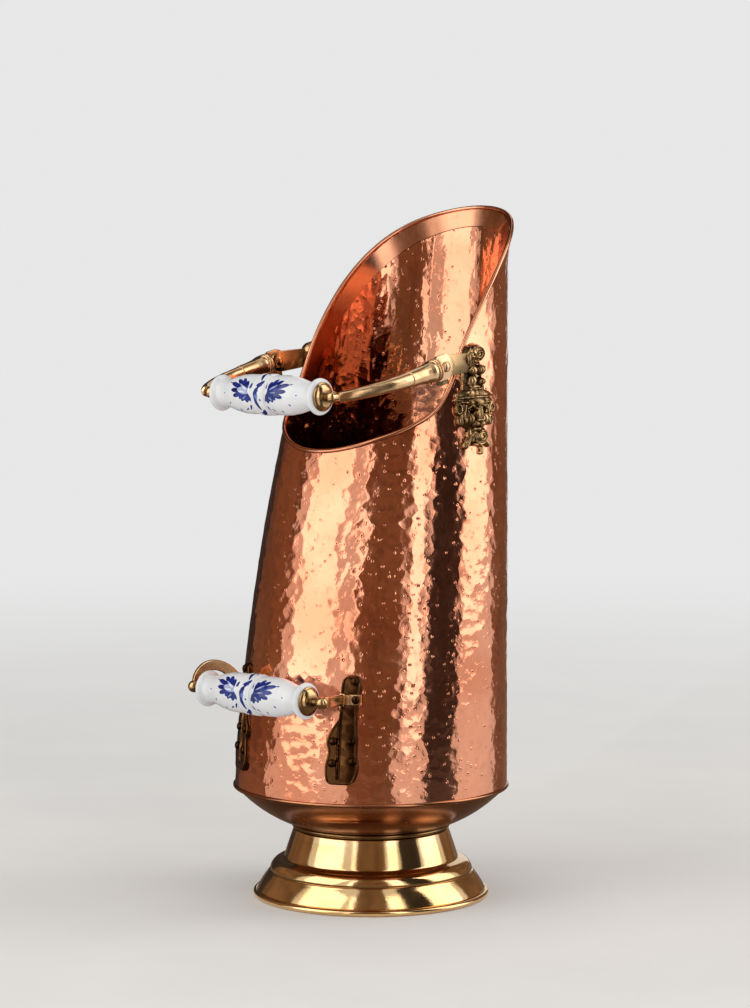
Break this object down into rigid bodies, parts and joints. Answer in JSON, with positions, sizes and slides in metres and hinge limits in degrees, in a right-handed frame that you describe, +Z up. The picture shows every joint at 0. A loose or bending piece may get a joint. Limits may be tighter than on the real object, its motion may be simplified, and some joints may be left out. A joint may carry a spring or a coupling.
{
  "type": "coal scuttle",
  "caption": "Hammered copper coal scuttle with a slanting helmet mouth, spun brass foot, swinging bail and low tipping handle, both with porcelain grips.",
  "frame": {"origin": "on the floor under the middle of the object's bounding box", "axes": "+Z up, +Y toward the tall pouring lip, -Y toward the two handles, +X to the right seen from the handle side"},
  "size_m": [0.2226, 0.2854, 0.5566],
  "materials": {
    "hammered_copper": "hand-hammered polished copper sheet with small dark pits",
    "smooth_copper": "smooth polished copper",
    "polished_brass": "spun and polished yellow brass",
    "aged_brass": "drawn brass, lightly aged, bright where it is handled",
    "dark_cast_brass": "cast brass, dark in the hollows and bright on the high points",
    "brown_brass": "brown oxidised brass",
    "porcelain": "white glazed porcelain with blue brushed sprays"
  },
  "bodies": {
    "scuttle": {"body_shell": "hammered_copper", "rim_wire": "smooth_copper", "mouth_hem": "smooth_copper", "base_dish": "smooth_copper", "foot": "polished_brass", "neck_ring": "polished_brass", "tip_cap_right": "polished_brass", "tip_cap_left": "polished_brass", "tip_ball_right": "polished_brass", "tip_ball_left": "polished_brass", "bail_pivot_right": "aged_brass", "bail_pivot_left": "aged_brass", "tip_arm_right": "aged_brass", "tip_arm_left": "aged_brass", "tip_rod": "aged_brass", "mask_mount_right": "dark_cast_brass", "mask_mount_left": "dark_cast_brass", "mask_mount_rivet_1_right": "dark_cast_brass", "mask_mount_rivet_1_left": "dark_cast_brass", "mask_mount_rivet_2_right": "dark_cast_brass", "mask_mount_rivet_2_left": "dark_cast_brass", "tip_bracket_right": "brown_brass", "tip_bracket_left": "brown_brass", "tip_arm_rivet_right": "brown_brass", "tip_arm_rivet_left": "brown_brass", "tip_bracket_rivet_1_right": "brown_brass", "tip_bracket_rivet_1_left": "brown_brass", "tip_bracket_rivet_2_right": "brown_brass", "tip_bracket_rivet_2_left": "brown_brass", "tip_bracket_rivet_3_right": "brown_brass", "tip_bracket_rivet_3_left": "brown_brass", "tip_bracket_rivet_4_right": "brown_brass", "tip_bracket_rivet_4_left": "brown_brass", "tip_bracket_rivet_5_right": "brown_brass", "tip_bracket_rivet_5_left": "brown_brass"},
    "bail": {"bail_socket_right": "aged_brass", "bail_socket_left": "aged_brass", "bail_arm_right": "aged_brass", "bail_arm_left": "aged_brass", "bail_ball_right": "polished_brass", "bail_ball_left": "polished_brass", "bail_cap_right": "polished_brass", "bail_cap_left": "polished_brass", "bail_rod": "aged_brass"},
    "bail_grip": {"bail_grip": "porcelain"},
    "tip_grip": {"tip_grip": "porcelain"}
  },
  "joints": [
    {"name": "bail_swing", "type": "hinge", "parent": "scuttle", "child": "bail", "pos_m": [0, -0.00955, 0.4287], "axis": [-1, 0, 0], "range_deg": [0, 105]},
    {"name": "bail_grip_turn", "type": "hinge", "parent": "bail", "child": "bail_grip", "pos_m": [0, -0.11008, 0.4077], "axis": [1, 0, 0], "continuous": true},
    {"name": "tip_grip_turn", "type": "hinge", "parent": "scuttle", "child": "tip_grip", "pos_m": [0, -0.12655, 0.1758], "axis": [1, 0, 0], "continuous": true}
  ]
}
